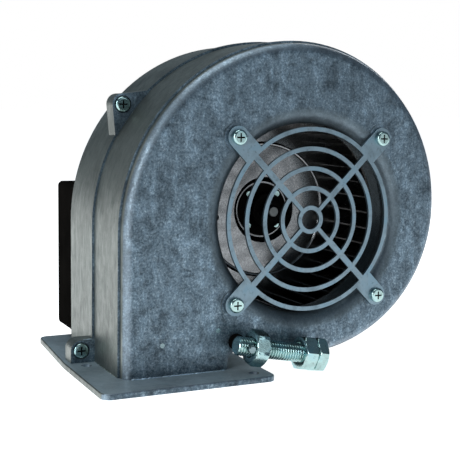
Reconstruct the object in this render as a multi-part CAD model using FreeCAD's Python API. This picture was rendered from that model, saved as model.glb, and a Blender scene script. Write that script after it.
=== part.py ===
import FreeCAD, Part
import math
import os

V = FreeCAD.Vector
os.makedirs("parts", exist_ok=True)

# Combustion fan for a small boiler. Millimetres.
# X to the right, Y to the back, Z up. Origin: middle of the outlet flange underside.
# The casing is two castings that meet on the plane Y = 0.

# ---- driving dimensions ----
AX, AZ = 73.5, 80.7            # fan axis, parallel to Y
HALF = 46.5                    # depth of each casing half
WALL = 3.0                     # cast wall
DUCT_L, DUCT_R = -30.5, 30.5   # outlet duct, outside faces
R1, R2, R3 = 99.1, 88.9, 78.7  # scroll arcs, outside
C1 = (AX - 4.9, AZ - 5.8)      # centre of the top left arc
C2 = (AX - 4.9, AZ + 4.4)      # centre of the top right arc
C3 = (AX + 5.3, AZ + 4.4)      # centre of the lower right arc
NECK_TILT = 6.0                # slope of the scroll floor towards the duct, degrees
NECK_R = 4.0                   # outside fillet from scroll floor to duct wall
LEDGE = 1.2                    # small step all round the face
EDGE_R = 5.5                   # rounding of the face edge
LIP, LIP_T = 1.2, 2.3          # parting lip, proud and thick
FL_X, FL_Y, FL_T = 46.5, 66.0, 3.0   # flange half sizes and thickness
FL_HOLE = 2.75                 # flange hole radius
FL_HOLES = ((37.4, -57.0), (37.4, 57.0), (-37.0, -9.7))
BELL_FACE, THROAT, BELL_R = 58.5, 50.5, 8.0   # inlet bell radii
THROAT_Y = -30.5               # depth where the inlet throat ends
GUARD_PITCH = 43.1             # guard screws, from the axis along X and Z
GUARD_T = 1.5
PAD = 0.4                      # raised pad under each guard screw
RINGS = (7.5, 17.9, 28.3, 38.7, 49.0)
RING_W = 2.25
EAR = (-15.3, 139.0)           # upper left clamping ear
LUG = (-37.9, 9.5)             # lower left clamping lug
SEAT_Y = -1.7                  # clamp screw heads sit in a counterbore
EARS_R = ((50.0, 94.5), (-45.0, 83.5))   # right hand ears: angle, distance from axis
SHAFT_X, SHAFT_Z = 31.8, 17.8  # damper shaft
SHAFT_R = 2.0
PIN_SHUT = (-9.3, 19.3)
PIN_OPEN = (21.4, 24.6)
PIN_R = 1.25
BOLT_Y = -58.8                 # counterweight bolt axis
BOLT_TILT = 10.9               # degrees below level when shut
BOLT_SHAFT = 6.0               # from the bolt's threaded end to the damper shaft
BOLT_LEN, BOLT_HEAD = 45.0, 6.4
BOLT_R, HEX_AF = 5.0, 17.0     # M10 bolt and nuts
NUT_A, NUT_B = 8.0, 37.0       # where the clamp nut and the counterweight nut start
NUT_H = 8.0
HEAD_TURN, NUT_A_TURN, NUT_B_TURN = 46.0, 11.4, 50.0   # degrees about the bolt
IMP_R, IMP_RI = 60.0, 51.0     # impeller
IMP_Y0, IMP_Y1 = -26.5, 7.5
BLADES = 36
CUP_R, CUP_Y = 50.0, 14.5      # motor pocket in the back casting
MOTOR_R = 46.0
SHAFT_END_R, BEARING_R = 3.0, 4.0   # motor shaft at its ends and through the bearings
HUB_Y1 = IMP_Y1 + 2.5          # shaft shoulder that the impeller hub rests on
BOX_X0, BOX_X1 = -26.8, 20.0   # terminal box
BOX_Y1, BOX_Z0, BOX_Z1 = 83.0, 7.2, 93.4
LEAD_Y, LEAD_Z = 64.5, 70.0    # motor leads pass from the box to the motor here
GLAND_Y, GLAND_Z = 64.0, 28.0


# ---- helpers ----
def save(shape, node):
    shape.exportStep("parts/%s.step" % node)
    print(node, "solids", len(shape.Solids), "volume %.1f" % shape.Volume, shape.isValid())


def box(x0, x1, y0, y1, z0, z1):
    return Part.makeBox(x1 - x0, y1 - y0, z1 - z0, V(x0, y0, z0))


def rod(x, z, r, y0, y1):
    return Part.makeCylinder(r, y1 - y0, V(x, y0, z), V(0, 1, 0))


def tube(x, z, ri, ro, y0, y1):
    return rod(x, z, ro, y0, y1).cut(rod(x, z, ri, y0 - 1, y1 + 1))


def axis_tube(ri, ro, y0, y1):
    return tube(AX, AZ, ri, ro, y0, y1)


def rod_x(y, z, r, x0, x1):
    return Part.makeCylinder(r, x1 - x0, V(x0, y, z), V(1, 0, 0))


def rod_z(x, y, r, z0, z1):
    return Part.makeCylinder(r, z1 - z0, V(x, y, z0), V(0, 0, 1))


def join(shapes):
    out = shapes[0]
    if len(shapes) > 1:
        out = out.multiFuse(shapes[1:])
    return out.removeSplitter()


def spun(points):
    """Full turn about the fan axis of a polygon given as (radius, depth)."""
    pts = [V(AX + r, y, AZ) for r, y in points]
    face = Part.Face(Part.makePolygon(pts + [pts[0]]))
    return face.revolve(V(AX, 0, AZ), V(0, 1, 0), 360)


def on_circle(cx, cz, r, deg):
    a = math.radians(deg)
    return cx + r * math.cos(a), cz + r * math.sin(a)


def hexagon(af, turn):
    """Hexagon face in the local YZ plane, across flats af."""
    r = af / math.sqrt(3.0)
    pts = []
    for k in range(7):
        a = math.radians(60 * k + turn)
        pts.append(V(0, r * math.cos(a), r * math.sin(a)))
    return Part.Face(Part.makePolygon(pts))


def cross_recess(shape, x, z, y, size, depth):
    """Cross slot cut into a head whose outer face is at depth y."""
    w = 0.8
    a = box(x - size / 2, x + size / 2, y - 1, y + depth, z - w / 2, z + w / 2)
    b = box(x - w / 2, x + w / 2, y - 1, y + depth, z - size / 2, z + size / 2)
    return shape.cut(a.fuse(b))


def pan_screw(x, z, y_seat, length, head_r=4.0, head_h=2.4, shank_r=2.0):
    """Pan head screw pointing to +Y, head seated at y_seat."""
    head = rod(x, z, head_r, y_seat - head_h, y_seat)
    rim = [e for e in head.Edges if e.BoundBox.YMax < y_seat - head_h + 0.01]
    head = head.makeFillet(head_h * 0.45, rim)
    head = cross_recess(head, x, z, y_seat - head_h, head_r * 1.1, head_h * 0.6)
    return join([head, rod(x, z, shank_r, y_seat, y_seat + length)])


# ---- casing outline ----
def outline(inset, y, z_low):
    """Scroll and duct outline as a face in the plane at depth y."""
    i = inset
    t = math.radians(NECK_TILT)
    st, ct = math.sin(t), math.cos(t)
    px, pz = C3[0] - R3 * st, C3[1] - R3 * ct
    nx = DUCT_R + NECK_R
    s = (px - NECK_R * st - nx) / ct
    nz = pz + s * st - NECK_R * ct
    a = V(DUCT_L + i, y, z_low)
    b = V(DUCT_L + i, y, C1[1])
    m1 = on_circle(C1[0], C1[1], R1 - i, 135)
    c = V(C1[0], y, C1[1] + R1 - i)
    m2 = on_circle(C2[0], C2[1], R2 - i, 45)
    d = V(C2[0] + R2 - i, y, C2[1])
    m3 = on_circle(C3[0], C3[1], R3 - i, -48)
    e = V(C3[0] - (R3 - i) * st, y, C3[1] - (R3 - i) * ct)
    f = V(nx + (NECK_R + i) * st, y, nz + (NECK_R + i) * ct)
    m4 = on_circle(nx, nz, NECK_R + i, 132)
    g = V(DUCT_R - i, y, nz)
    h = V(DUCT_R - i, y, z_low)
    edges = [
        Part.makeLine(a, b),
        Part.Arc(b, V(m1[0], y, m1[1]), c).toShape(),
        Part.Arc(c, V(m2[0], y, m2[1]), d).toShape(),
        Part.Arc(d, V(m3[0], y, m3[1]), e).toShape(),
        Part.makeLine(e, f),
        Part.Arc(f, V(m4[0], y, m4[1]), g).toShape(),
        Part.makeLine(g, h),
        Part.makeLine(h, a),
    ]
    return Part.Face(Part.Wire(edges))


def slab(inset, y0, y1, z_low=FL_T):
    return outline(inset, y0, z_low).extrude(V(0, y1 - y0, 0))


def rounded_end(y_end, y_ledge, radius):
    """Face plate part of a half, with the rounded outer edge."""
    body = slab(LEDGE, min(y_end, y_ledge), max(y_end, y_ledge))
    picked = []
    for e in body.Edges:
        bb = e.BoundBox
        flat = abs(bb.YMax - y_end) < 1e-4 and abs(bb.YMin - y_end) < 1e-4
        if flat and bb.ZMax > FL_T + 0.01:
            picked.append(e)
    return body.makeFillet(radius, picked)


def flange_half(sign):
    """Half of the outlet flange. sign -1 is the front half."""
    if sign < 0:
        pts = [(-FL_X, 0), (-FL_X, -FL_Y), (FL_X, -FL_Y), (FL_X, 0)]
    else:
        pts = [(-FL_X, 0), (FL_X, 0), (FL_X, FL_Y), (-42.3, FL_Y)]
    poly = Part.makePolygon([V(x, y, 0) for x, y in pts + [pts[0]]])
    plate = Part.Face(poly).extrude(V(0, 0, FL_T))
    corners = []
    for e in plate.Edges:
        bb = e.BoundBox
        if bb.ZLength > 1 and abs(bb.YMin) > 10:
            corners.append(e)
    plate = plate.makeFillet(5.0, corners)
    rim = []
    for e in plate.Edges:
        bb = e.BoundBox
        if bb.ZMin > FL_T - 0.01 and max(abs(bb.YMin), abs(bb.YMax)) > 1:
            rim.append(e)
    return plate.makeFillet(0.8, rim)


def ear_shape(y0, y1):
    """Triangular ear at the upper left, standing out from the scroll."""
    ex, ez = EAR
    pts = [(-1.7, 146.5), (ex + 0.7, ez + 5.55), (ex - 5.57, ez - 0.6),
           (-19.4, 122.7), (-6.0, 122.0), (6.0, 138.0)]
    wire = Part.makePolygon([V(x, y0, z) for x, z in pts + [pts[0]]])
    plate = Part.Face(wire).extrude(V(0, y1 - y0, 0))
    return plate.fuse(rod(ex, ez, 5.6, y0, y1))


def side_ear(deg, dist, y0, y1):
    x, z = on_circle(AX, AZ, dist, deg)
    arm = box(-9.0, 0, y0, y1, -5.6, 5.6)
    arm.rotate(V(0, 0, 0), V(0, 1, 0), -deg)
    arm.translate(V(x, 0, z))
    return arm.fuse(rod(x, z, 5.6, y0, y1))


def lug_shape(y0, y1):
    low = box(LUG[0] - 5.5, DUCT_L + 0.5, y0, y1, FL_T, LUG[1])
    mid = box(LUG[0], DUCT_L + 0.5, y0, y1, LUG[1], LUG[1] + 5.5)
    return low.fuse(mid).fuse(rod(LUG[0], LUG[1], 5.5, y0, y1))


def clamp_points():
    pts = [EAR, LUG]
    for deg, dist in EARS_R:
        pts.append(on_circle(AX, AZ, dist, deg))
    return pts


def guard_points():
    g = GUARD_PITCH
    return [(AX + a * g, AZ + b * g) for a in (-1, 1) for b in (-1, 1)]


# ---- front casting ----
def bell():
    """Rounded inlet lip turning inwards to the throat."""
    yc = -HALF + BELL_R
    t = 2.5
    k = math.sqrt(0.5)

    def p(r, y):
        return V(AX + r, y, AZ)
    a, b = p(BELL_FACE, -HALF), p(THROAT, yc)
    am = p(BELL_FACE - BELL_R * k, yc - BELL_R * k)
    c, d = p(THROAT, THROAT_Y + 0.8), p(THROAT + 0.8, THROAT_Y)
    e, f = p(THROAT + t, THROAT_Y), p(THROAT + t, yc)
    ro = BELL_R - t
    g = p(BELL_FACE, yc - ro)
    gm = p(BELL_FACE - ro * k, yc - ro * k)
    h, j = p(BELL_FACE + 3, -HALF + WALL - 0.1), p(BELL_FACE + 3, -HALF)
    wire = Part.Wire([
        Part.Arc(a, am, b).toShape(), Part.makeLine(b, c), Part.makeLine(c, d),
        Part.makeLine(d, e), Part.makeLine(e, f), Part.Arc(f, gm, g).toShape(),
        Part.makeLine(g, h), Part.makeLine(h, j), Part.makeLine(j, a)])
    return Part.Face(wire).revolve(V(AX, 0, AZ), V(0, 1, 0), 360)


def cavity(y_wall, y_split):
    """Inside of one casting half, rounded where the wall meets the face."""
    low = -2.0
    body = slab(WALL, min(y_wall, y_split), max(y_wall, y_split), low)
    picked = []
    for e in body.Edges:
        bb = e.BoundBox
        flat = abs(bb.YMax - y_wall) < 1e-4 and abs(bb.YMin - y_wall) < 1e-4
        if flat and bb.ZMax > low + 0.01:
            picked.append(e)
    return body.makeFillet(3.5, picked)


def front_housing():
    cap = rounded_end(-HALF, -HALF + EDGE_R + 1.0, EDGE_R)
    solid = [slab(0, -HALF + EDGE_R + 1.0, 0), cap, slab(-LIP, -LIP_T, 0), flange_half(-1)]
    solid += [ear_shape(-3.2, 0), lug_shape(-3.2, 0)]
    solid += [side_ear(a, d, -3.2, 0) for a, d in EARS_R]
    body = join(solid)
    body = body.cut(cavity(-HALF + WALL, 1))
    body = body.cut(rod(AX, AZ, BELL_FACE, -HALF - 1, -30))
    body = body.fuse(bell())
    for x, z in guard_points():
        body = body.fuse(rod(x, z, 7.5, -HALF - PAD, -HALF + 1).cut(
            rod(AX, AZ, BELL_FACE, -HALF - 2, -30)))
        body = body.fuse(rod(x, z, 4.2, -HALF + 1, -37.5).cut(
            rod(AX, AZ, THROAT + 1.5, -HALF - 2, -30)))
        body = body.cut(rod(x, z, 2.0, -HALF - 2, -38.5))
    for x, z in clamp_points():
        body = body.cut(rod(x, z, 2.25, -10, 1))
        body = body.cut(rod(x, z, 4.6, -8.0, SEAT_Y))
    for x, y in FL_HOLES:
        if y < 0:
            body = body.cut(rod_z(x, y, FL_HOLE, -1, 8))
    body = body.cut(rod(SHAFT_X, SHAFT_Z, 3.2, -HALF - 1, -40))
    for x, z in (PIN_SHUT, PIN_OPEN):
        body = body.cut(rod(x, z, PIN_R, -HALF - 1, -40))
    return body.removeSplitter()


# ---- back casting ----
def motor_screw_points():
    return [on_circle(AX, AZ, 30.0, a) for a in (45, 135, 225, 315)]


def box_screw_points():
    return [(-3.4, 24.0), (-3.4, 76.0)]


def rear_housing():
    cap = rounded_end(HALF, HALF - EDGE_R - 1.0, EDGE_R)
    solid = [slab(0, 0, HALF - EDGE_R - 1.0), cap, slab(-LIP, 0, LIP_T), flange_half(1)]
    solid += [ear_shape(0, 7.0), lug_shape(0, 7.0)]
    solid += [side_ear(a, d, 0, 7.0) for a, d in EARS_R]
    body = join(solid)
    body = body.cut(cavity(HALF - WALL, -1))
    body = body.fuse(rod(AX, AZ, CUP_R + 3.0, CUP_Y - 3.0, HALF - 1.0))
    body = body.cut(rod(AX, AZ, CUP_R, CUP_Y, HALF + 1))
    body = body.cut(rod(AX, AZ, 16.0, 0, 20))
    for x, z in motor_screw_points():
        body = body.cut(rod(x, z, 2.2, 0, 20))
    for x, z in clamp_points():
        body = body.cut(rod(x, z, 2.0, -1, 9))
    for x, y in FL_HOLES:
        if y > 0:
            body = body.cut(rod_z(x, y, FL_HOLE, -1, 8))
    body = body.cut(rod(SHAFT_X, SHAFT_Z, 3.2, 40, HALF + 1))
    for x, z in box_screw_points():
        body = body.fuse(rod(x, z, 4.0, HALF - 8, HALF - 1))
        body = body.cut(rod(x, z, 1.75, HALF - 7, HALF + 1))
    return body.removeSplitter()


def housing_screws():
    return Part.makeCompound([pan_screw(x, z, SEAT_Y, 8.2) for x, z in clamp_points()])


# ---- inlet guard ----
def inlet_guard():
    y1 = -HALF - PAD
    y0 = y1 - GUARD_T
    parts = [axis_tube(r - RING_W, r, y0, y1) for r in RINGS]
    for k in range(4):
        deg = 45 + 90 * k
        inner = box(RINGS[0] - 0.8, RINGS[1] - 0.8, y0, y1, -1.1, 1.1)
        outer = box(RINGS[1] - 0.8, RINGS[4] - 0.8, y0, y1, -1.65, 1.65)
        tab = box(RINGS[4] - 1.2, GUARD_PITCH * math.sqrt(2.0), y0, y1, -5.8, 5.8)
        for s in (inner, outer, tab):
            s.rotate(V(0, 0, 0), V(0, 1, 0), -deg)
            s.translate(V(AX, 0, AZ))
            parts.append(s)
    parts += [rod(x, z, 5.8, y0, y1) for x, z in guard_points()]
    guard = join(parts)
    for x, z in guard_points():
        guard = guard.cut(rod(x, z, 2.2, y0 - 1, y1 + 1))
    return guard


def guard_screws():
    y = -HALF - PAD - GUARD_T
    return Part.makeCompound([pan_screw(x, z, y, 8.0, 4.0, 2.6) for x, z in guard_points()])


# ---- gravity damper ----
def stop_pins():
    out = []
    for x, z in (PIN_SHUT, PIN_OPEN):
        pin = rod(x, z, PIN_R, -HALF - 0.6, -37.5)
        slot = box(x - 2, x + 2, -HALF - 1, -HALF - 0.1, z - 0.25, z + 0.25)
        slot.rotate(V(x, 0, z), V(0, 1, 0), 35)
        out.append(pin.cut(slot))
    return Part.makeCompound(out)


def flap_bush_front():
    bore = SHAFT_R + 0.05
    flange = tube(SHAFT_X, SHAFT_Z, bore, 4.3, -HALF - 1.8, -HALF)
    sleeve = tube(SHAFT_X, SHAFT_Z, bore, 3.2, -HALF, -HALF + WALL)
    return join([flange, sleeve])


def flap_bush_rear():
    """Closed outside, so that the shaft end can't show."""
    flange = rod(SHAFT_X, SHAFT_Z, 4.3, HALF, HALF + 1.8)
    sleeve = rod(SHAFT_X, SHAFT_Z, 3.2, HALF - WALL, HALF)
    bore = rod(SHAFT_X, SHAFT_Z, SHAFT_R + 0.05, HALF - WALL - 1, HALF + 0.8)
    return join([flange, sleeve]).cut(bore)


def flap_rivet_depths():
    return (-34.0, -12.0, 12.0, 34.0)


def flap_shaft():
    """Round rod with a long flat underneath for the plate."""
    s = rod(SHAFT_X, SHAFT_Z, SHAFT_R, -66.5, HALF + 0.4)
    tip = [e for e in s.Edges if e.BoundBox.YMax < -66.4]
    s = s.makeFillet(0.5, tip)
    s = s.cut(box(SHAFT_X - 3, SHAFT_X + 3, -42.8, 42.8, SHAFT_Z - 3, SHAFT_Z - 0.3))
    for y in flap_rivet_depths():
        s = s.cut(rod_z(SHAFT_X, y, 0.8, 10, 25))
    return s


def flap_plate():
    """Damper blade with a stiffening fold and a stop arm at the front."""
    top = SHAFT_Z - 0.3
    plate = box(-26.8, SHAFT_X + 2.2, -42.8, 42.8, top - 1.0, top)
    corners = [e for e in plate.Edges if e.BoundBox.ZLength > 0.5 and e.BoundBox.XMax < 0]
    plate = plate.makeFillet(3.0, corners)
    fold = box(-24.0, 10.0, 40.8, 41.8, top - 4.0, top - 0.5)
    y0, y1 = -42.3, -38.3
    foot = box(SHAFT_X - 3.3, SHAFT_X - 2.1, y0, y1, top - 0.5, SHAFT_Z + 3.2)
    jog = box(SHAFT_X - 3.3, SHAFT_X + 0.5, y0, y1, SHAFT_Z + 2.1, SHAFT_Z + 3.2)
    arm = box(SHAFT_X - 0.7, SHAFT_X + 0.5, y0, y1, SHAFT_Z + 2.1, SHAFT_Z + 13.2)
    plate = join([plate, fold, foot, jog, arm])
    for y in flap_rivet_depths():
        plate = plate.cut(rod_z(SHAFT_X, y, 0.8, 10, 25))
    return plate


def flap_rivets():
    out = []
    for y in flap_rivet_depths():
        low = SHAFT_Z - 1.3
        body = [rod_z(SHAFT_X, y, 0.8, low, SHAFT_Z + 2.0),
                rod_z(SHAFT_X, y, 1.6, low - 0.8, low),
                rod_z(SHAFT_X, y, 1.2, SHAFT_Z + 2.0, SHAFT_Z + 2.6)]
        out.append(join(body))
    return Part.makeCompound(out)


def place_bolt(shape):
    """Local X runs along the bolt from its threaded end."""
    shape.translate(V(-BOLT_SHAFT, 0, 0))
    shape.rotate(V(0, 0, 0), V(0, 1, 0), BOLT_TILT)
    shape.translate(V(SHAFT_X, BOLT_Y, SHAFT_Z))
    return shape


def hex_body(s0, s1, turn):
    """Hexagon prism with chamfered corners along the local X axis."""
    prism = hexagon(HEX_AF, turn).extrude(V(s1 - s0, 0, 0))
    prism.translate(V(s0, 0, 0))
    r = HEX_AF / math.sqrt(3.0)
    mid = (s0 + s1) / 2.0
    half = (s1 - s0) / 2.0
    big = Part.makeCone(r + half * 1.7 - 1.5, r - 1.5, half, V(mid, 0, 0), V(1, 0, 0))
    small = Part.makeCone(r - 1.5, r + half * 1.7 - 1.5, half, V(s0, 0, 0), V(1, 0, 0))
    return prism.common(big.fuse(small))


def counterweight_bolt():
    shank = Part.makeCylinder(BOLT_R, BOLT_LEN, V(0, 0, 0), V(1, 0, 0))
    end = [e for e in shank.Edges if e.BoundBox.XMax < 0.01]
    shank = shank.makeChamfer(0.9, end)
    bolt = place_bolt(join([shank, hex_body(BOLT_LEN, BOLT_LEN + BOLT_HEAD, HEAD_TURN)]))
    return bolt.cut(rod(SHAFT_X, SHAFT_Z, SHAFT_R, -80, -40))


def nut(start, turn):
    bore = Part.makeCylinder(BOLT_R, 80, V(-10, 0, 0), V(1, 0, 0))
    return place_bolt(hex_body(start, start + NUT_H, turn).cut(bore))


# ---- impeller ----
def blade(k):
    t = 0.8
    pts = [(IMP_RI, 0.0), (55.0, 2.2), (IMP_R, 8.0)]
    xy = [on_circle(0, 0, r, a) for r, a in pts]
    (x1, z1), (x2, z2), (x3, z3) = xy
    d = 2 * (x1 * (z2 - z3) + x2 * (z3 - z1) + x3 * (z1 - z2))
    s1, s2, s3 = x1 * x1 + z1 * z1, x2 * x2 + z2 * z2, x3 * x3 + z3 * z3
    cx = (s1 * (z2 - z3) + s2 * (z3 - z1) + s3 * (z1 - z2)) / d
    cz = (s1 * (x3 - x2) + s2 * (x1 - x3) + s3 * (x2 - x1)) / d
    r = math.hypot(x1 - cx, z1 - cz)

    def at(p, off):
        ux, uz = (p[0] - cx) / r, (p[1] - cz) / r
        return V(cx + ux * (r + off), IMP_Y0 + 1.2, cz + uz * (r + off))
    a1, a2, a3 = [at(p, t / 2) for p in xy]
    b1, b2, b3 = [at(p, -t / 2) for p in xy]
    wire = Part.Wire([Part.Arc(a1, a2, a3).toShape(), Part.makeLine(a3, b3),
                      Part.Arc(b3, b2, b1).toShape(), Part.makeLine(b1, a1)])
    solid = Part.Face(wire).extrude(V(0, IMP_Y1 - IMP_Y0 - 1.2, 0))
    solid.rotate(V(0, 0, 0), V(0, 1, 0), -360.0 / BLADES * k)
    solid.translate(V(AX, 0, AZ))
    return solid


def impeller_blades():
    return Part.makeCompound([blade(k) for k in range(BLADES)])


def impeller_disc():
    """Pressed back disc: a rolled bead at the outer step and a dished centre."""
    y = IMP_Y1
    disc = spun([(15.4, y + 1.7), (16.2, y + 1.7), (19.0, y - 1.2), (36.9, y - 1.2),
                 (37.4, y - 1.7), (38.1, y - 1.8), (38.7, y - 1.4), (39.3, y),
                 (IMP_R + 0.4, y), (IMP_R + 0.4, y + 0.8), (38.5, y + 0.8), (38.0, y - 0.5),
                 (19.3, y - 0.4), (16.6, y + 2.5), (15.4, y + 2.5)])
    hx, hz = on_circle(AX, AZ, 30.5, 187.0)
    return disc.cut(rod(hx, hz, 2.0, 0, 20))


def impeller_ring():
    return axis_tube(IMP_RI + 1.0, IMP_R + 0.4, IMP_Y0, IMP_Y0 + 1.2)


def rivet_places():
    return [on_circle(AX, AZ, 12.8, a) for a in (45, 135, 225, 315)]


def impeller_collar():
    """Steel flange that carries the disc, riveted to the hub."""
    y = IMP_Y1
    out = spun([(6.0, y + 1.7), (15.4, y + 1.7), (15.4, y + 2.5), (10.0, y + 3.3), (6.0, y + 3.3)])
    for x, z in rivet_places():
        out = out.cut(rod(x, z, 1.0, 0, 20))
    return out


def impeller_rivets():
    out = []
    for x, z in rivet_places():
        y0, y1 = IMP_Y1 + 0.6, IMP_Y1 + 2.9
        out.append(join([rod(x, z, 1.0, y0, y1), rod(x, z, 1.6, y0 - 0.5, y0)]))
    return Part.makeCompound(out)


def impeller_hub():
    """Black stepped hub pushed on the shaft end."""
    y = IMP_Y1
    hub = spun([(SHAFT_END_R, -4.5), (5.5, -4.5), (6.0, -4.0), (6.0, 0.6), (8.6, 0.6),
                (9.1, 0.1), (9.6, 0.1), (10.0, 0.6), (10.0, y + 0.6), (15.2, y + 0.6),
                (15.2, y + 1.7), (6.0, y + 1.7), (6.0, HUB_Y1), (SHAFT_END_R, HUB_Y1)])
    for x, z in rivet_places():
        hub = hub.cut(rod(x, z, 1.0, 0, 20))
    return hub


# ---- motor ----
def motor_shaft():
    a, b = SHAFT_END_R, BEARING_R
    return spun([(0, -6.2), (a - 0.4, -6.2), (a, -5.8), (a, HUB_Y1), (b, HUB_Y1), (b, 74.0),
                 (a, 74.0), (a, 92.0), (0, 92.0)])


def motor_front_shield():
    body = spun([(5.0, 11.5), (16.0, 11.5), (16.0, CUP_Y), (MOTOR_R, CUP_Y), (MOTOR_R, 30.0),
                 (43.0, 30.0), (43.0, 18.5), (14.5, 18.5), (14.5, 24.5), (11.0, 24.5),
                 (11.0, 17.0), (5.0, 17.0)])
    for x, z in motor_screw_points():
        body = body.fuse(rod(x, z, 4.0, 18.0, 21.0))
        body = body.cut(rod(x, z, 2.0, 10, 22))
    for x, z in through_points():
        body = body.cut(rod(x, z, 1.75, 14.9, 32))
    return body


def through_points():
    return [on_circle(AX, AZ, 39.8, a) for a in (0, 90, 180, 270)]


def motor_mount_screws():
    y = CUP_Y - 3.0
    return Part.makeCompound([pan_screw(x, z, y, 9.0, 3.6, 1.8) for x, z in motor_screw_points()])


def stator_core():
    core = axis_tube(30.0, MOTOR_R, 30.0, 60.0)
    for k in range(24):
        x, z = on_circle(AX, AZ, 31.5, 15 * k)
        core = core.cut(rod(x, z, 2.2, 29, 61))
    for x, z in through_points():
        core = core.cut(rod(x, z, 1.75, 29, 61))
    return core


def stator_winding():
    return Part.makeCompound([axis_tube(31.0, 37.0, 23.0, 30.0), axis_tube(31.0, 37.0, 60.0, 66.5)])


def motor_rear_shield():
    body = spun([(5.0, 75.0), (MOTOR_R, 75.0), (MOTOR_R, 60.0), (43.0, 60.0), (43.0, 71.0),
                 (14.5, 71.0), (14.5, 64.0), (11.0, 64.0), (11.0, 72.4), (5.0, 72.4)])
    for x, z in through_points():
        body = body.cut(rod(x, z, 1.75, 59, 80))
    body = body.cut(rod_x(LEAD_Y, LEAD_Z, 3.2, 20, AX - 38.0))
    for x, z in cover_screw_dirs():
        body = body.cut(radial_rod(x, z, 1.5, 40.0, 48.0, 73.0))
    return body


def motor_through_bolts():
    out = []
    for x, z in through_points():
        out.append(join([rod(x, z, 1.75, 14.9, 75.0), rod(x, z, 3.2, 75.0, 77.2)]))
    return Part.makeCompound(out)


def rotor_core():
    core = axis_tube(BEARING_R, 29.6, 30.0, 60.0)
    ring = axis_tube(20.0, 28.6, 26.0, 64.0)
    return join([core, ring])


def bearing_inner(y):
    return axis_tube(BEARING_R, 5.8, y, y + 7.0)


def bearing_outer(y):
    return axis_tube(9.2, 11.0, y, y + 7.0)


def bearing_balls(y):
    parts = []
    for k in range(7):
        x, z = on_circle(AX, AZ, 7.5, 360.0 / 7 * k)
        parts.append(Part.makeSphere(1.6, V(x, y + 3.5, z)))
    return Part.makeCompound(parts)


def wave_washer():
    return axis_tube(8.0, 10.8, 71.6, 72.4)


def cooling_fan():
    hub = axis_tube(SHAFT_END_R, 8.0, 78.5, 90.0)
    disc = axis_tube(7.0, 34.0, 78.5, 80.0)
    parts = [hub, disc]
    for k in range(9):
        f = box(7.0, 34.0, 79.5, 89.0, -0.7, 0.7)
        f.rotate(V(0, 0, 0), V(0, 1, 0), -40.0 * k)
        f.translate(V(AX, 0, AZ))
        parts.append(f)
    return join(parts)


def cooling_fan_clip():
    return axis_tube(SHAFT_END_R, 5.2, 90.0, 90.8)


def cover_screw_dirs():
    return [(math.cos(math.radians(a)), math.sin(math.radians(a))) for a in (45, 165, 285)]


def radial_rod(ux, uz, r, d0, d1, y):
    return Part.makeCylinder(r, d1 - d0, V(AX + ux * d0, y, AZ + uz * d0), V(ux, 0, uz))


def fan_cover():
    """Pressed sheet cover over the cooling fan, with slots in the end."""
    cover = spun([(0, 99.2), (45.2, 99.2), (MOTOR_R, 98.4), (MOTOR_R, 69.0), (MOTOR_R + 0.8, 69.0),
                  (MOTOR_R + 0.8, 98.8), (45.6, 100.0), (0, 100.0)])
    for r0, r1 in ((12.0, 17.0), (21.0, 26.0), (30.0, 35.0)):
        ring = axis_tube(r0, r1, 98, 101)
        for k in range(4):
            web = box(0, 60, 97, 102, -2.0, 2.0)
            web.rotate(V(0, 0, 0), V(0, 1, 0), -90.0 * k)
            web.translate(V(AX, 0, AZ))
            ring = ring.cut(web)
        cover = cover.cut(ring)
    for ux, uz in cover_screw_dirs():
        cover = cover.cut(radial_rod(ux, uz, 1.7, 44.0, 49.0, 73.0))
    return cover


def fan_cover_screws():
    out = []
    for ux, uz in cover_screw_dirs():
        shank = radial_rod(ux, uz, 1.5, 40.5, MOTOR_R + 0.8, 73.0)
        head = radial_rod(ux, uz, 2.8, MOTOR_R + 0.8, MOTOR_R + 2.4, 73.0)
        out.append(join([shank, head]))
    return Part.makeCompound(out)


# ---- terminal box ----
def rounded_block(x0, x1, y0, y1, z0, z1, r, edges_end):
    b = box(x0, x1, y0, y1, z0, z1)
    picked = [e for e in b.Edges if e.BoundBox.YLength > 0.5]
    b = b.makeFillet(r * 0.6, picked)
    if edges_end:
        picked = [e for e in b.Edges if e.BoundBox.YMin > y1 - 0.01]
        b = b.makeFillet(r, picked)
    return b


def lid_screw_points():
    return [(x, z) for x in (BOX_X0 + 6.0, BOX_X1 - 6.0) for z in (BOX_Z0 + 6.0, BOX_Z1 - 6.0)]


def terminal_box():
    y1 = BOX_Y1 - 7.0
    out = rounded_block(BOX_X0, BOX_X1, HALF, y1, BOX_Z0, BOX_Z1, 5.0, False)
    out = out.cut(box(BOX_X0 + 2, BOX_X1 - 2, HALF + 2, y1 + 1, BOX_Z0 + 2, BOX_Z1 - 2))
    for x, z in lid_screw_points():
        out = out.fuse(rod(x, z, 3.6, HALF + 1, y1))
        out = out.cut(rod(x, z, 1.5, y1 - 9, y1 + 1))
    out = out.cut(rod_x(GLAND_Y, GLAND_Z, 6.0, BOX_X1 - 5, BOX_X1 + 5))
    out = out.cut(rod_x(LEAD_Y, LEAD_Z, 4.0, BOX_X1 - 5, BOX_X1 + 5))
    for x, z in box_screw_points():
        out = out.cut(rod(x, z, 2.0, HALF - 1, HALF + 4))
    return out


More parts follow.
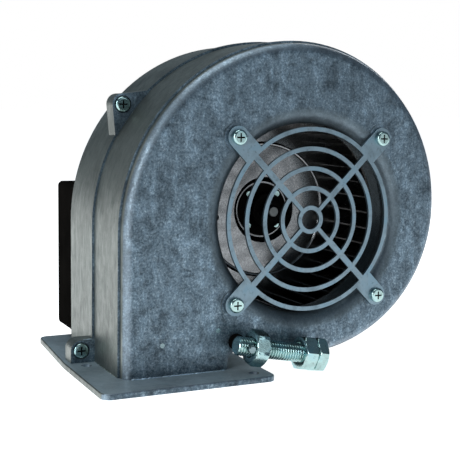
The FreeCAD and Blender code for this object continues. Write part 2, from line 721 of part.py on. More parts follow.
def lid_gasket():
    y1 = BOX_Y1 - 7.0
    a = box(BOX_X0 + 0.9, BOX_X1 - 0.9, y1, y1 + 1.0, BOX_Z0 + 0.9, BOX_Z1 - 0.9)
    g = a.cut(box(BOX_X0 + 2.2, BOX_X1 - 2.2, y1 - 1, y1 + 2, BOX_Z0 + 2.2, BOX_Z1 - 2.2))
    for x, z in lid_screw_points():
        g = g.fuse(rod(x, z, 4.0, y1, y1 + 1.0))
        g = g.cut(rod(x, z, 1.7, y1 - 1, y1 + 2))
    return g.common(rounded_block(BOX_X0 + 0.6, BOX_X1 - 0.6, y1, y1 + 1, BOX_Z0 + 0.6,
                                  BOX_Z1 - 0.6, 5.0, False))


def terminal_box_lid():
    y0 = BOX_Y1 - 6.0
    lid = rounded_block(BOX_X0, BOX_X1, y0, BOX_Y1, BOX_Z0, BOX_Z1, 4.6, True)
    lid = lid.cut(box(BOX_X0 + 6, BOX_X1 - 6, y0 - 1, BOX_Y1 - 2.2, BOX_Z0 + 11, BOX_Z1 - 11))
    for x, z in lid_screw_points():
        lid = lid.cut(rod(x, z, 1.7, y0 - 1, BOX_Y1 + 1))
        lid = lid.cut(rod(x, z, 3.1, BOX_Y1 - 2.0, BOX_Y1 + 1))
    return lid


def lid_screws():
    out = []
    for x, z in lid_screw_points():
        head = rod(x, z, 2.8, BOX_Y1 - 2.0, BOX_Y1 - 0.4)
        shank = rod(x, z, 1.5, BOX_Y1 - 15.0, BOX_Y1 - 2.0)
        s = join([head, shank])
        out.append(s.cut(box(x - 1.8, x + 1.8, BOX_Y1 - 1.2, BOX_Y1, z - 0.35, z + 0.35)))
    return Part.makeCompound(out)


def box_screws():
    out = []
    for x, z in box_screw_points():
        out.append(join([rod(x, z, 1.75, HALF - 6.0, HALF + 2.0),
                         rod(x, z, 3.4, HALF + 2.0, HALF + 4.0)]))
    return Part.makeCompound(out)


def capacitor():
    body = rod_z(-12.0, 62.0, 8.5, 34.0, 66.0)
    pins = [rod_z(-15.0, 62.0, 0.8, 66.0, 71.0), rod_z(-9.0, 62.0, 0.8, 66.0, 71.0)]
    return join([body] + pins)


def capacitor_clip():
    ring = Part.makeCylinder(9.3, 8.0, V(-12.0, 62.0, 44.0), V(0, 0, 1))
    foot = box(-16.0, -8.0, HALF + 2.0, 62.0, 44.0, 52.0)
    return join([ring, foot]).cut(rod_z(-12.0, 62.0, 8.5, 30.0, 70.0))


def terminal_block():
    out = box(2.0, 13.0, HALF + 2.0, 60.0, 34.0, 62.0)
    for k in range(3):
        z = 38.7 + 9.3 * k
        out = out.cut(rod(7.5, z, 2.0, 54.0, 61.0))
        out = out.cut(rod_x(52.5, z, 1.6, 0.0, 20.0))
    return out


def terminal_screws():
    out = []
    for k in range(3):
        z = 38.7 + 9.3 * k
        s = rod(7.5, z, 2.0, 55.6, 58.6)
        out.append(s.cut(box(5.0, 10.0, 57.8, 59.0, z - 0.3, z + 0.3)))
    return Part.makeCompound(out)


def hex_along_x(af, x0, x1, y, z):
    h = hexagon(af, 0).extrude(V(x1 - x0, 0, 0))
    h.translate(V(x0, y, z))
    return h


def gland_body():
    y, z = GLAND_Y, GLAND_Z
    parts = [hex_along_x(15.0, BOX_X1, BOX_X1 + 4.0, y, z), rod_x(y, z, 6.0, BOX_X1 - 6.5, BOX_X1),
             rod_x(y, z, 6.0, BOX_X1 + 4.0, BOX_X1 + 7.0)]
    return join(parts).cut(rod_x(y, z, 4.0, BOX_X1 - 10, BOX_X1 + 20))


def gland_locknut():
    y, z = GLAND_Y, GLAND_Z
    h = hex_along_x(15.0, BOX_X1 - 5.0, BOX_X1 - 2.0, y, z)
    return h.cut(rod_x(y, z, 6.0, 0, 40))


def gland_nut():
    y, z = GLAND_Y, GLAND_Z
    cap = hex_along_x(15.0, BOX_X1 + 4.0, BOX_X1 + 10.0, y, z)
    dome = Part.makeCone(7.0, 5.0, 4.0, V(BOX_X1 + 10.0, y, z), V(1, 0, 0))
    cap = join([cap, dome])
    cap = cap.cut(rod_x(y, z, 6.0, BOX_X1, BOX_X1 + 9.5))
    return cap.cut(rod_x(y, z, 4.0, BOX_X1, BOX_X1 + 20.0))


def gland_seal():
    y, z = GLAND_Y, GLAND_Z
    s = rod_x(y, z, 4.0, BOX_X1 + 1.0, BOX_X1 + 13.2)
    return s.cut(rod_x(y, z, 2.6, BOX_X1, BOX_X1 + 14.0))


def lead_grommet():
    a = rod_x(LEAD_Y, LEAD_Z, 5.4, BOX_X1, BOX_X1 + 1.4)
    b = rod_x(LEAD_Y, LEAD_Z, 4.0, BOX_X1 - 2.0, BOX_X1)
    c = rod_x(LEAD_Y, LEAD_Z, 5.4, BOX_X1 - 3.2, BOX_X1 - 2.0)
    return join([a, b, c]).cut(rod_x(LEAD_Y, LEAD_Z, 2.6, BOX_X1 - 5, BOX_X1 + 5))


def lead_sleeve():
    s = rod_x(LEAD_Y, LEAD_Z, 2.6, BOX_X1 - 6.0, AX - 44.0)
    return s.cut(rod_x(LEAD_Y, LEAD_Z, 1.8, 0.0, 60.0))


NODES = (
    ("front_housing", front_housing), ("rear_housing", rear_housing),
    ("housing_screws", housing_screws), ("inlet_guard", inlet_guard),
    ("guard_screws", guard_screws), ("flap_stop_pins", stop_pins),
    ("flap_bush_front", flap_bush_front), ("flap_bush_rear", flap_bush_rear),
    ("flap_shaft", flap_shaft), ("flap_plate", flap_plate), ("flap_rivets", flap_rivets),
    ("counterweight_bolt", counterweight_bolt),
    ("clamp_nut", lambda: nut(NUT_A, NUT_A_TURN)),
    ("counterweight_nut", lambda: nut(NUT_B, NUT_B_TURN)),
    ("impeller_blades", impeller_blades), ("impeller_disc", impeller_disc),
    ("impeller_front_ring", impeller_ring), ("impeller_collar", impeller_collar),
    ("impeller_rivets", impeller_rivets), ("impeller_hub", impeller_hub),
    ("motor_shaft", motor_shaft), ("motor_front_shield", motor_front_shield),
    ("motor_mount_screws", motor_mount_screws), ("stator_core", stator_core),
    ("stator_winding", stator_winding), ("motor_rear_shield", motor_rear_shield),
    ("motor_through_bolts", motor_through_bolts), ("rotor_core", rotor_core),
    ("front_bearing_inner", lambda: bearing_inner(17.0)),
    ("front_bearing_outer", lambda: bearing_outer(17.0)),
    ("front_bearing_balls", lambda: bearing_balls(17.0)),
    ("rear_bearing_inner", lambda: bearing_inner(64.6)),
    ("rear_bearing_outer", lambda: bearing_outer(64.6)),
    ("rear_bearing_balls", lambda: bearing_balls(64.6)),
    ("wave_washer", wave_washer), ("cooling_fan", cooling_fan),
    ("cooling_fan_clip", cooling_fan_clip), ("fan_cover", fan_cover),
    ("fan_cover_screws", fan_cover_screws), ("terminal_box", terminal_box),
    ("lid_gasket", lid_gasket), ("terminal_box_lid", terminal_box_lid),
    ("lid_screws", lid_screws), ("box_screws", box_screws),
    ("capacitor", capacitor), ("capacitor_clip", capacitor_clip),
    ("terminal_block", terminal_block), ("terminal_screws", terminal_screws),
    ("gland_body", gland_body), ("gland_locknut", gland_locknut),
    ("gland_nut", gland_nut), ("gland_seal", gland_seal),
    ("lead_grommet", lead_grommet), ("lead_sleeve", lead_sleeve),
)

for name, make in NODES:
    save(make(), name)
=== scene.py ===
import math

import bmesh
import bpy
from mathutils import Matrix, Vector, noise


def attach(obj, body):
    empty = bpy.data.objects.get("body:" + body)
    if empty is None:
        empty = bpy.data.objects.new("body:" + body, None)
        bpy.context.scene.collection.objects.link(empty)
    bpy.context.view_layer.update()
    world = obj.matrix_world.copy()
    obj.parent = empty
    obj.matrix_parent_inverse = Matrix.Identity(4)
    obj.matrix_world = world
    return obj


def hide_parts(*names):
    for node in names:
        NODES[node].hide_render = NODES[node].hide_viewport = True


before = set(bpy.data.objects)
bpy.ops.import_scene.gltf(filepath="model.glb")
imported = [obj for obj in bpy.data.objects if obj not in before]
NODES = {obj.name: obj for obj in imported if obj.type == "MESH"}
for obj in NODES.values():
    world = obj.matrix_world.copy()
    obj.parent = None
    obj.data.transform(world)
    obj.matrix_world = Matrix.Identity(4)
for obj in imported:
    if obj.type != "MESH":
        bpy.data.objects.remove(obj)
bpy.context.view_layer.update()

# ---- sizes shared with the CAD model, in metres ----
AX, AZ = 0.0735, 0.0807
HALF = 0.0465
SHAFT = Vector((0.0318, 0.0, 0.0178))
MM = 0.001
GUARD_PITCH = 43.1 * MM        # guard screws, from the axis along X and Z
GUARD_FACE = -HALF - 1.9 * MM
CLAMP_SEAT = -1.7 * MM
FLANGE_TOP = 3.0 * MM
DUCT_X = 30.5 * MM

BOLT_Y = -0.0588
BOLT_TILT = math.radians(10.9)
BOLT_START = 0.0060            # from the bolt's threaded end to the damper shaft
BOLT_LENGTH, HEAD_LENGTH = 45.0 * MM, 6.4 * MM
CLAMP_NUT, WEIGHT_NUT = 8.0 * MM, 37.0 * MM
NUT_HEIGHT = 8.0 * MM
HEAD_TURN, CLAMP_TURN, WEIGHT_TURN = 46.0, 11.4, 50.0
HEX_FLAT_R = 8.5 * MM          # half of 17 mm across flats
NUT_BORE = 4.9 * MM
CHAMFER_STEPS = (0.35, 0.8, 1.3, 1.9)   # millimetres out from the chamfer's flat circle


# ---- node helpers ----
class Mat:
    """A node material built step by step."""

    def __init__(self, name):
        self.m = bpy.data.materials.new(name)
        self.m.use_nodes = True
        self.t = self.m.node_tree
        self.b = self.t.nodes["Principled BSDF"]
        self.coord = self.new("ShaderNodeTexCoord").outputs["Object"]

    def new(self, kind, **props):
        n = self.t.nodes.new(kind)
        for k, v in props.items():
            setattr(n, k, v)
        return n

    def link(self, a, b):
        self.t.links.new(a, b)

    def set(self, **values):
        for k, v in values.items():
            self.b.inputs[k.replace("_", " ")].default_value = v
        return self

    def stretch(self, scale):
        n = self.new("ShaderNodeMapping")
        n.inputs["Scale"].default_value = scale
        self.link(self.coord, n.inputs["Vector"])
        return n.outputs["Vector"]

    def noise(self, scale, detail=4.0, rough=0.55, distort=0.0, vector=None):
        n = self.new("ShaderNodeTexNoise")
        n.inputs["Scale"].default_value = scale
        n.inputs["Detail"].default_value = detail
        n.inputs["Roughness"].default_value = rough
        n.inputs["Distortion"].default_value = distort
        self.link(vector or self.coord, n.inputs["Vector"])
        return n.outputs["Fac"]

    def voronoi(self, scale):
        n = self.new("ShaderNodeTexVoronoi")
        n.inputs["Scale"].default_value = scale
        self.link(self.coord, n.inputs["Vector"])
        return n.outputs["Distance"]

    def ramp(self, fac, stops):
        n = self.new("ShaderNodeValToRGB")
        e = n.color_ramp.elements
        while len(e) < len(stops):
            e.new(0.5)
        for slot, (pos, col) in zip(e, stops):
            slot.position = pos
            slot.color = (*col, 1.0) if isinstance(col, tuple) else (col, col, col, 1.0)
        self.link(fac, n.inputs["Fac"])
        return n.outputs["Color"]

    def mix(self, fac, a, b, kind="MIX"):
        n = self.new("ShaderNodeMix", data_type="RGBA", blend_type=kind)
        for value, sock in ((fac, n.inputs[0]), (a, n.inputs[6]), (b, n.inputs[7])):
            if isinstance(value, (int, float)):
                sock.default_value = value
            elif isinstance(value, tuple):
                sock.default_value = (*value, 1.0)
            else:
                self.link(value, sock)
        return n.outputs[2]

    def math(self, op, a, b=0.0):
        n = self.new("ShaderNodeMath", operation=op)
        for value, sock in ((a, n.inputs[0]), (b, n.inputs[1])):
            if isinstance(value, (int, float)):
                sock.default_value = value
            else:
                self.link(value, sock)
        return n.outputs[0]

    def bump(self, height, strength, distance, before=None):
        n = self.new("ShaderNodeBump")
        n.inputs["Strength"].default_value = strength
        n.inputs["Distance"].default_value = distance
        self.link(height, n.inputs["Height"])
        if before is not None:
            self.link(before, n.inputs["Normal"])
        return n.outputs["Normal"]

    def normal_axis(self, axis):
        """How far the surface faces along an axis of the part, 0 to 1."""
        n = self.new("ShaderNodeTexCoord")
        s = self.new("ShaderNodeSeparateXYZ")
        self.link(n.outputs["Normal"], s.inputs[0])
        return self.math("ABSOLUTE", s.outputs[axis])

    def place_axis(self, axis):
        s = self.new("ShaderNodeSeparateXYZ")
        self.link(self.coord, s.inputs[0])
        return s.outputs[axis]

    def radius_from_axis(self):
        """Distance from the fan axis, in tenths of a metre."""
        s = self.new("ShaderNodeSeparateXYZ")
        self.link(self.coord, s.inputs[0])
        dx = self.math("SUBTRACT", s.outputs["X"], AX)
        dz = self.math("SUBTRACT", s.outputs["Z"], AZ)
        square = self.math("ADD", self.math("MULTIPLY", dx, dx), self.math("MULTIPLY", dz, dz))
        return self.math("MULTIPLY", self.math("SQRT", square), 10.0)

    def colour(self, sock):
        self.link(sock, self.b.inputs["Base Color"])

    def rough(self, sock):
        self.link(sock, self.b.inputs["Roughness"])

    def normal(self, sock):
        self.link(sock, self.b.inputs["Normal"])


def cast_aluminium(name, bright=1.0, polish=0.0):
    """Die casting: mottled faces, duller walls, dark blotches and pits; painted reflection tints the
    faces and walls by facing direction, with a painted highlight on the edge bead, painted shade in
    the inlet bell and painted light on the flange tops.
    """
    m = Mat(name)
    m.set(Metallic=0.90)
    # Front faces and side walls get different tints by facing direction: painted reflection, dark
    # bluish on the faces and olive grey on the walls; the mottle and streaks are surface texture.
    toward = m.normal_axis("Y")
    face = m.ramp(toward, [(0.22, 0.0), (0.45, 1.0)])
    # Fillet between face and wall, picked by facing direction: painted highlight.
    bead_highlight = m.ramp(toward, [(0.25, 0.0), (0.45, 1.0), (0.90, 0.8), (0.985, 0.0)])
    mott = m.noise(900.0, 6.0, 0.75, 0.3)
    patch = m.noise(150.0, 5.0, 0.62, 0.8)
    cloud = m.noise(30.0, 5.0, 0.6, 0.9)
    k = bright
    face_col = m.ramp(mott, [(0.34, (0.060 * k, 0.092 * k, 0.122 * k)),
                             (0.46, (0.105 * k, 0.150 * k, 0.190 * k)),
                             (0.56, (0.155 * k, 0.212 * k, 0.258 * k)),
                             (0.70, (0.30 * k, 0.375 * k, 0.43 * k))])
    wash = m.ramp(patch, [(0.28, 0.42), (0.44, 0.84), (0.56, 1.06), (0.72, 1.42)])
    face_col = m.mix(1.0, face_col, wash, "MULTIPLY")
    rub = m.noise(210.0, 5.0, 0.7, 0.4, m.stretch((1.0, 1.0, 0.22)))
    face_col = m.mix(1.0, face_col, m.ramp(rub, [(0.30, 0.78), (0.50, 1.0), (0.66, 1.45)]), "MULTIPLY")
    streak = m.noise(260.0, 6.0, 0.72, 0.5, m.stretch((1.0, 1.0, 0.30)))
    side_col = m.ramp(streak, [(0.30, (0.115 * k, 0.135 * k, 0.128 * k)),
                               (0.50, (0.180 * k, 0.200 * k, 0.186 * k)),
                               (0.70, (0.255 * k, 0.275 * k, 0.258 * k))])
    # Inlet bell-mouth, 49.5 to 57.5 mm from the fan axis: painted shade pulls its colour toward dark
    # grey; the same mask makes it glossier.
    rim = m.radius_from_axis()
    bell = m.math("MULTIPLY", m.ramp(rim, [(0.0, 0.0), (0.495, 1.0), (0.575, 1.0), (0.60, 0.0)]),
                  m.math("LESS_THAN", m.place_axis("Y"), -0.0300))
    side_col = m.mix(m.math("MULTIPLY", bell, 0.6), side_col, (0.19 * k, 0.225 * k, 0.245 * k))
    # Up-facing flange tops near the floor: painted light, a paler blue colour; the same mask lowers
    # the metallic.
    flat_top = m.ramp(m.normal_axis("Z"), [(0.92, 0.0), (0.99, 1.0)])
    low = m.ramp(m.place_axis("Z"), [(0.0, 1.0), (0.02, 0.0)])
    flange = m.math("MULTIPLY", flat_top, low)
    side_col = m.mix(m.math("MULTIPLY", flange, 0.55), side_col, (0.36, 0.49, 0.60))
    # Paler colour on the edge bead: painted highlight.
    face_col = m.mix(m.math("MULTIPLY", bead_highlight, 0.32), face_col, (0.40 * k, 0.47 * k, 0.54 * k))
    col = m.mix(face, side_col, face_col)
    # Painted shade darkens the inlet bell.
    col = m.mix(m.math("MULTIPLY", bell, 0.7), col, (0.085 * k, 0.110 * k, 0.125 * k))
    shade = m.ramp(cloud, [(0.30, 0.62), (0.50, 0.95), (0.72, 1.14)])
    col = m.mix(1.0, col, shade, "MULTIPLY")
    stain = m.noise(70.0, 7.0, 0.78, 1.8)
    stain = m.ramp(stain, [(0.27, 1.0), (0.37, 0.0)])
    col = m.mix(m.math("MULTIPLY", stain, 0.75), col, (0.022, 0.030, 0.038))
    pits = m.ramp(m.voronoi(900.0), [(0.0, 1.0), (0.10, 0.0)])
    pits = m.math("MULTIPLY", pits, m.ramp(m.noise(170.0, 2.0), [(0.54, 0.0), (0.62, 1.0)]))
    col = m.mix(m.math("MULTIPLY", pits, 0.8), col, (0.04, 0.045, 0.05))
    m.colour(col)
    m.link(m.math("SUBTRACT", 0.90, m.math("MULTIPLY", flange, 0.80)), m.b.inputs["Metallic"])
    base = 0.40 - polish
    r_face = m.ramp(mott, [(0.35, base + 0.18), (0.68, base - 0.06)])
    r_side = m.ramp(streak, [(0.3, base + 0.06), (0.7, base - 0.08)])
    r_side = m.mix(bell, r_side, (0.24, 0.24, 0.24))
    m.rough(m.mix(face, r_side, r_face))
    h = m.math("ADD", m.math("MULTIPLY", mott, 0.55), m.math("MULTIPLY", patch, 0.9))
    h = m.math("ADD", h, m.math("MULTIPLY", cloud, 2.2))
    n = m.bump(h, 0.5 - polish, 0.00030)
    m.normal(m.bump(m.math("SUBTRACT", 1.0, pits), 0.6, 0.0002, n))
    return m.m


def zinc(name, tint=(0.72, 0.745, 0.77), rough=0.24, scratch=0.5, blue=0.5):
    """Bright zinc plate with a passivated colour drift and fine scratches."""
    m = Mat(name)
    m.set(Metallic=1.0)
    drift = m.noise(130.0, 3.0, 0.5, 0.4)
    a = tuple(c * 0.78 for c in tint)
    b = (tint[0] * 0.86, tint[1] * 0.97, tint[2] * (1.0 + 0.05 * blue))
    col = m.ramp(drift, [(0.32, a), (0.5, tint), (0.68, b)])
    grime = m.ramp(m.noise(520.0, 6.0, 0.7), [(0.30, 0.55), (0.46, 1.0)])
    col = m.mix(0.8, col, grime, "MULTIPLY")
    m.colour(col)
    line = m.noise(900.0, 4.0, 0.6, 0.2, m.stretch((1.0, 1.0, 0.06)))
    m.rough(m.ramp(line, [(0.3, rough + 0.12), (0.7, rough)]))
    m.normal(m.bump(line, scratch * 0.3, 0.00006))
    return m.m


def plastic(name, col, rough=0.42, grain=1400.0, gloss=0.22):
    m = Mat(name)
    m.set(Specular_IOR_Level=gloss)
    n = m.noise(grain, 3.0, 0.6)
    cloud = m.noise(60.0, 3.0)
    dark = tuple(c * 0.7 for c in col)
    m.colour(m.ramp(cloud, [(0.35, dark), (0.65, col)]))
    m.rough(m.ramp(n, [(0.3, rough + 0.12), (0.7, rough - 0.05)]))
    m.normal(m.bump(n, 0.35, 0.00008))
    return m.m


def brushed(name, col, rough, lines=(1.0, 1.0, 1.0), scale=800.0):
    """Turned or ground metal with fine marks."""
    m = Mat(name)
    m.set(Metallic=1.0)
    n = m.noise(scale, 4.0, 0.6, 0.0, m.stretch(lines))
    dark = tuple(c * 0.72 for c in col)
    m.colour(m.ramp(n, [(0.3, dark), (0.62, col)]))
    m.rough(m.ramp(n, [(0.3, rough + 0.1), (0.7, rough)]))
    m.normal(m.bump(n, 0.2, 0.00005))
    return m.m


CAST = cast_aluminium("cast_aluminium")
SHIELD = cast_aluminium("shield_aluminium", 1.1)
GUARD = zinc("guard_zinc", (0.200, 0.275, 0.325), 0.34, 0.5, 0.4)
HARDWARE = zinc("hardware_zinc", (0.40, 0.56, 0.55), 0.10, 0.5, 1.0)
PIN = zinc("pin_zinc", (0.22, 0.30, 0.32), 0.22, 0.6, 1.0)
SHEET = brushed("plated_sheet", (0.26, 0.27, 0.28), 0.13, (1.0, 0.2, 1.0))
BLADE = brushed("blade_sheet", (0.20, 0.19, 0.18), 0.24, (1.0, 0.1, 1.0))
TURNED = brushed("turned_steel", (0.15, 0.16, 0.16), 0.30, (0.2, 4.0, 0.2))
BEARING = brushed("bearing_steel", (0.80, 0.80, 0.82), 0.12)
BLACK = plastic("black_plastic", (0.006, 0.0055, 0.005), 0.55, 1400.0, 0.0)
RUBBER = plastic("black_rubber", (0.02, 0.02, 0.02), 0.70, 2200.0)
LIGHT = plastic("light_plastic", (0.62, 0.61, 0.56), 0.42)
LAMINATION = brushed("lamination_steel", (0.30, 0.30, 0.31), 0.45, (0.3, 9.0, 0.3))
COPPER = brushed("enamelled_copper", (0.55, 0.24, 0.09), 0.32, (2.0, 2.0, 2.0), 1600.0)
BRASS = brushed("terminal_brass", (0.78, 0.60, 0.28), 0.25)
PAINT = plastic("black_sheet", (0.022, 0.022, 0.024), 0.34, 2600.0)

LOOKS = {
    CAST: ("front_housing", "rear_housing"),
    SHIELD: ("motor_front_shield", "motor_rear_shield"),
    GUARD: ("inlet_guard",),
    HARDWARE: ("housing_screws", "guard_screws", "motor_mount_screws", "motor_through_bolts",
               "fan_cover_screws", "lid_screws", "box_screws", "counterweight_bolt", "clamp_nut",
               "counterweight_nut", "flap_rivets", "impeller_rivets"),
    SHEET: ("impeller_disc", "flap_plate", "capacitor_clip"),
    BLADE: ("impeller_blades", "impeller_front_ring"),
    PIN: ("flap_stop_pins", "flap_shaft"),
    TURNED: ("motor_shaft", "impeller_collar", "wave_washer",
             "cooling_fan_clip"),
    BEARING: ("front_bearing_inner", "front_bearing_outer", "front_bearing_balls",
              "rear_bearing_inner", "rear_bearing_outer", "rear_bearing_balls"),
    BLACK: ("terminal_box", "terminal_box_lid", "gland_body", "gland_locknut", "gland_nut",
            "cooling_fan", "impeller_hub", "flap_bush_front", "flap_bush_rear"),
    RUBBER: ("lid_gasket", "gland_seal", "lead_grommet", "lead_sleeve"),
    LIGHT: ("capacitor", "terminal_block"),
    LAMINATION: ("stator_core", "rotor_core"),
    COPPER: ("stator_winding",),
    BRASS: ("terminal_screws",),
    PAINT: ("fan_cover",),
}
for mat, names in LOOKS.items():
    for n in names:
        mesh = NODES[n].data
        mesh.materials.clear()
        mesh.materials.append(mat)


# ---- small mesh helpers ----
def make_object(name, verts, faces, mat, smooth=True):
    mesh = bpy.data.meshes.new(name)
    mesh.from_pydata([tuple(v) for v in verts], [], faces)
    mesh.validate()
    mesh.materials.append(mat)
    ob = bpy.data.objects.new(name, mesh)
    bpy.context.scene.collection.objects.link(ob)
    if smooth:
        for p in mesh.polygons:
            p.use_smooth = True
    return ob


def bolt_place(p):
    """Bolt's own frame (x along the bolt from its threaded end) to the row frame."""
    x = p[0] - BOLT_START
    c, s = math.cos(BOLT_TILT), math.sin(BOLT_TILT)
    return Vector((SHAFT.x + x * c + p[2] * s, BOLT_Y + p[1], SHAFT.z - x * s + p[2] * c))


# ---- counterweight bolt with a real thread ----
def threaded_bolt():
    """M10 x 1.5 thread as one swept surface, with a chamfered end."""
    pitch, major, minor = 1.5 * MM, 5.0 * MM, 4.08 * MM
    steps = 72
    rows = int(BOLT_LENGTH / pitch * 12)
    verts, faces = [], []
    for i in range(rows + 1):
        x = BOLT_LENGTH * i / rows
        cap = min(1.0, x / (0.9 * MM))
        for k in range(steps):
            a = 2 * math.pi * k / steps
            phase = (x / pitch - k / steps) % 1.0
            tri = 1.0 - abs(2.0 * phase - 1.0)
            tri = min(1.0, max(0.0, (tri - 0.12) / 0.70))
            r = minor + (major - minor) * tri
            r = min(r, (4.1 + 0.9 * cap) * MM)
            verts.append(bolt_place((x, r * math.cos(a), r * math.sin(a))))
    for i in range(rows):
        for k in range(steps):
            a, b = i * steps + k, i * steps + (k + 1) % steps
            faces.append((a, b, b + steps, a + steps))
    faces.append(tuple(range(steps - 1, -1, -1)))
    faces.append(tuple(rows * steps + k for k in range(steps)))
    return make_object("counterweight_bolt_thread", verts, faces, HARDWARE)


def hex_solid(name, x0, x1, turn, bore=None):
    """Hexagon with chamfered ends, and a bore with countersunk mouths where one is given."""
    r_flat = HEX_FLAT_R
    r_corner = r_flat / math.cos(math.radians(30))
    r_circle = r_flat - 0.5 * MM
    around = 96
    verts, faces, rings = [], [], []

    def ring(x, limit):
        row = []
        for k in range(around):
            a = 2 * math.pi * k / around
            local = (a - math.radians(turn)) % math.radians(60) - math.radians(30)
            hexr = r_flat / math.cos(local)
            row.append(len(verts))
            r = min(hexr, limit)
            verts.append(bolt_place((x, r * math.cos(a), r * math.sin(a))))
        rings.append(row)

    if bore:
        ring(x0 + 0.9 * MM, bore)
        ring(x0, bore + 0.7 * MM)
    ring(x0, r_circle)
    for f in CHAMFER_STEPS:
        ring(x0 + f * MM * 0.55, r_circle + f * MM)
    ring(x0 + (x1 - x0) * 0.5, r_corner)
    for f in reversed(CHAMFER_STEPS):
        ring(x1 - f * MM * 0.55, r_circle + f * MM)
    ring(x1, r_circle)
    if bore:
        ring(x1, bore + 0.7 * MM)
        ring(x1 - 0.9 * MM, bore)
    for i in range(len(rings) - 1):
        for k in range(around):
            j = (k + 1) % around
            faces.append((rings[i][k], rings[i][j], rings[i + 1][j], rings[i + 1][k]))
    if bore:
        for k in range(around):
            j = (k + 1) % around
            faces.append((rings[-1][k], rings[-1][j], rings[0][j], rings[0][k]))
    else:
        faces.append(tuple(reversed(rings[0])))
        faces.append(tuple(rings[-1]))
    return make_object(name, verts, faces, HARDWARE)


def auto_smooth(ob, deg):
    """Sharp edges above an angle, smooth elsewhere."""
    bm = bmesh.new()
    bm.from_mesh(ob.data)
    bmesh.ops.recalc_face_normals(bm, faces=bm.faces)
    for e in bm.edges:
        if len(e.link_faces) == 2:
            e.smooth = e.calc_face_angle(0.0) < math.radians(deg)
    bm.to_mesh(ob.data)
    bm.free()


def fit_hardware(piece, node):
    """Stands for a CAD node on the damper."""
    auto_smooth(piece, 32)
    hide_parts(node)
    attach(piece, "damper")


bolt = threaded_bolt()
head = hex_solid("counterweight_bolt_head", BOLT_LENGTH, BOLT_LENGTH + HEAD_LENGTH, HEAD_TURN)
fit_hardware(bolt, "counterweight_bolt")
fit_hardware(head, "counterweight_bolt")
for label, start, turn in (("clamp_nut", CLAMP_NUT, CLAMP_TURN),
                           ("counterweight_nut", WEIGHT_NUT, WEIGHT_TURN)):
    end = start + NUT_HEIGHT - 0.02 * MM
    fit_hardware(hex_solid(label + "_hex", start, end, turn, NUT_BORE), label)

# ---- casting flash and small marks ----
def crumb_line(name, path, width, height, up, seed, mat):
    """Thin broken ridge of casting flash along a path, as one closed strip with a ragged crest."""
    verts, faces, pts = [], [], []
    per = 4                    # corners round the ridge
    spacing = 0.9 * MM
    for a, b in zip(path, path[1:]):
        a, b = Vector(a), Vector(b)
        count = max(1, int((b - a).length / spacing))
        pts += [a.lerp(b, i / count) for i in range(count)]
    pts.append(Vector(path[-1]))
    up = Vector(up).normalized()
    for i, p in enumerate(pts):
        ahead = pts[min(i + 1, len(pts) - 1)] - pts[max(i - 1, 0)]
        side = ahead.normalized().cross(up).normalized()
        n = noise.noise(Vector((i * 0.61, seed, 0.0)))
        f = noise.noise(Vector((i * 1.7, seed + 9.0, 3.0)))
        h = height * (0.55 + 0.8 * abs(n) + 0.5 * f)
        w = width * (0.75 + 0.6 * n)
        lean = side * (width * 0.5 * f)
        for q in (side * w, up * h * 0.7 + side * w * 0.5 + lean, up * h + lean, -side * w):
            verts.append(p + q)
    for i in range(len(pts) - 1):
        for k in range(per):
            j = (k + 1) % per
            faces.append((i * per + k, i * per + j, (i + 1) * per + j, (i + 1) * per + k))
    faces.append(tuple(range(per - 1, -1, -1)))
    faces.append(tuple((len(pts) - 1) * per + k for k in range(per)))
    ob = make_object(name, verts, faces, mat, False)
    auto_smooth(ob, 20)
    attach(ob, "housing")


FLASH = cast_aluminium("flash_aluminium", 2.6, 0.12)
UP = (0, 0, 1)
OUT = 0.15 * MM                # how far the flash stands off the wall
front_y = -HALF - OUT
left_x = -DUCT_X - OUT
lug_y, lug_z = -2.6 * MM, 15.1 * MM
front = [(-DUCT_X + 5 * MM, front_y, FLANGE_TOP), (DUCT_X - 5 * MM, front_y, FLANGE_TOP)]
left = [(left_x, -38 * MM, FLANGE_TOP), (left_x, -4 * MM, FLANGE_TOP)]
lug = [(-DUCT_X - 6 * MM, lug_y, lug_z), (-DUCT_X - 1.2 * MM, lug_y, lug_z)]
crumb_line("flash_front", front, 0.35 * MM, 0.7 * MM, UP, 1.0, FLASH)
crumb_line("flash_left", left, 0.3 * MM, 0.55 * MM, UP, 4.0, FLASH)
crumb_line("flash_lug", lug, 0.3 * MM, 0.6 * MM, UP, 7.0, FLASH)

# ---- painted shade: dark insets at the bottom of the cross recesses ----
RECESS_SIZE = 4.4 * MM
GUARD_RECESS_Y = GUARD_FACE - 2.6 * MM * 0.4     # 0.4 of the head height stays below the recess
CLAMP_RECESS_Y = CLAMP_SEAT - 2.4 * MM * 0.4
# Near-black painted shade for the recess floors.
RECESS_SHADE = plastic("recess_painted_shade", (0.004, 0.004, 0.005), 0.8, 2000.0)


def painted_shade_inset(name, x, z, y_floor):
    """Thin dark cross of painted shade that lines the bottom of a recess."""
    w, s, t = 0.39 * MM, RECESS_SIZE * 0.49, 0.25 * MM
    outline = [(w, s), (-w, s), (-w, w), (-s, w), (-s, -w), (-w, -w),
               (-w, -s), (w, -s), (w, -w), (s, -w), (s, w), (w, w)]
    count = len(outline)
    verts = [(x + a, y_floor - t, z + b) for a, b in outline]
    verts += [(x + a, y_floor - 0.01 * MM, z + b) for a, b in outline]
    faces = [tuple(range(count)), tuple(range(2 * count - 1, count - 1, -1))]
    for k in range(count):
        j = (k + 1) % count
        faces.append((k, count + k, count + j, j))
    ob = make_object(name, verts, faces, RECESS_SHADE, False)
    auto_smooth(ob, 20)
    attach(ob, "housing")


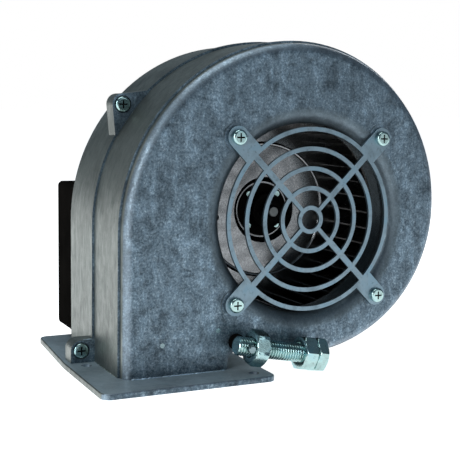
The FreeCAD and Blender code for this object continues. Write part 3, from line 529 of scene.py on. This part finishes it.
for i, (sx, sz) in enumerate(((-1, -1), (1, -1), (-1, 1), (1, 1))):
    painted_shade_inset("guard_recess_%d" % i, AX + sx * GUARD_PITCH, AZ + sz * GUARD_PITCH, GUARD_RECESS_Y)
CLAMPS = [(-0.0153, 0.1390), (-0.0379, 0.0095)]
CLAMPS += [(AX + d * math.cos(math.radians(a)), AZ + d * math.sin(math.radians(a)))
           for a, d in ((50.0, 0.0945), (-45.0, 0.0835))]
for i, (x, z) in enumerate(CLAMPS):
    painted_shade_inset("clamp_recess_%d" % i, x, z, CLAMP_RECESS_Y)


def soften(node, width):
    """Small rounded edges on a node, so its edges catch the light."""
    mod = NODES[node].modifiers.new("edge", "BEVEL")
    mod.width = width
    mod.segments = 2
    mod.limit_method = "ANGLE"
    mod.angle_limit = math.radians(40)
    mod.use_clamp_overlap = True


soften("inlet_guard", 0.28 * MM)

# ---- stage ----
scene = bpy.context.scene
world = bpy.data.worlds.new("studio")
scene.world = world
world.use_nodes = True
wt = world.node_tree
bg = wt.nodes["Background"]
bg.inputs["Color"].default_value = (0.52, 0.72, 0.90, 1.0)
bg.inputs["Strength"].default_value = 0.17
# The backdrop shows white, and the object is lit by the dimmer colour above.
paper = wt.nodes.new("ShaderNodeBackground")
paper.inputs["Color"].default_value = (1.0, 1.0, 1.0, 1.0)
paper.inputs["Strength"].default_value = 1.0
rays = wt.nodes.new("ShaderNodeLightPath")
either = wt.nodes.new("ShaderNodeMixShader")
wt.links.new(rays.outputs["Is Camera Ray"], either.inputs[0])
wt.links.new(bg.outputs[0], either.inputs[1])
wt.links.new(paper.outputs[0], either.inputs[2])
wt.links.new(either.outputs[0], wt.nodes["World Output"].inputs["Surface"])

FLOOR_HALF, FLOOR_Z = 30.0, -0.0002
paper_mat = Mat("floor_white")
paper_mat.set(Base_Color=(0.90, 0.90, 0.90, 1.0), Roughness=0.7, Specular_IOR_Level=0.1,
              Emission_Color=(1.0, 1.0, 1.0, 1.0), Emission_Strength=0.93)
corners = [(x * FLOOR_HALF, y * FLOOR_HALF, FLOOR_Z) for x, y in ((-1, -1), (1, -1), (1, 1), (-1, 1))]
floor = make_object("floor", corners, [(0, 1, 2, 3)], paper_mat.m, False)


def area(name, place, target, size, power, colour=(1, 1, 1)):
    data = bpy.data.lights.new(name, "AREA")
    data.shape = "RECTANGLE"
    data.size, data.size_y = size
    data.energy = power
    data.color = colour
    ob = bpy.data.objects.new(name, data)
    scene.collection.objects.link(ob)
    ob.location = place
    ob.rotation_euler = (Vector(target) - Vector(place)).to_track_quat("-Z", "Y").to_euler()


CENTRE = (0.04, 0.0, 0.08)
area("top", (-0.10, 0.05, 1.2), CENTRE, (1.1, 0.9), 6.5, (0.96, 1.0, 1.0))
area("left_front", (-1.05, -0.62, 0.42), CENTRE, (0.30, 0.7), 6.5, (0.95, 0.99, 1.0))
area("left_back", (-1.0, 0.75, 0.5), CENTRE, (0.6, 0.7), 1.4, (1.0, 0.98, 0.93))
area("front_low", (0.55, -1.2, 0.5), CENTRE, (0.5, 0.35), 0.7, (0.88, 0.95, 1.0))
area("right_back", (0.9, 0.9, 0.7), CENTRE, (0.6, 0.6), 4.0, (1.0, 1.0, 1.0))

# ---- camera ----
CAMERA_PLACE = Vector((-0.19157, -0.50925, 0.13729))
YAW, PITCH, ROLL = (math.radians(d) for d in (27.79, 7.73, 1.38))
fwd = Vector((math.sin(YAW) * math.cos(PITCH), math.cos(YAW) * math.cos(PITCH), -math.sin(PITCH)))
right = Vector((math.cos(YAW), -math.sin(YAW), 0.0))
up = right.cross(fwd)
right_r = right * math.cos(ROLL) + up * math.sin(ROLL)
up_r = up * math.cos(ROLL) - right * math.sin(ROLL)
cam_data = bpy.data.cameras.new("camera")
cam = bpy.data.objects.new("camera", cam_data)
scene.collection.objects.link(cam)
rot = Matrix((right_r, up_r, -fwd)).transposed()
cam.matrix_world = Matrix.Translation(CAMERA_PLACE) @ rot.to_4x4()
cam_data.sensor_width = 36.0
cam_data.lens = 78.81
cam_data.shift_x = -0.0934
cam_data.shift_y = 0.0388
cam_data.clip_start = 0.01
scene.camera = cam

scene.view_settings.view_transform = "Standard"
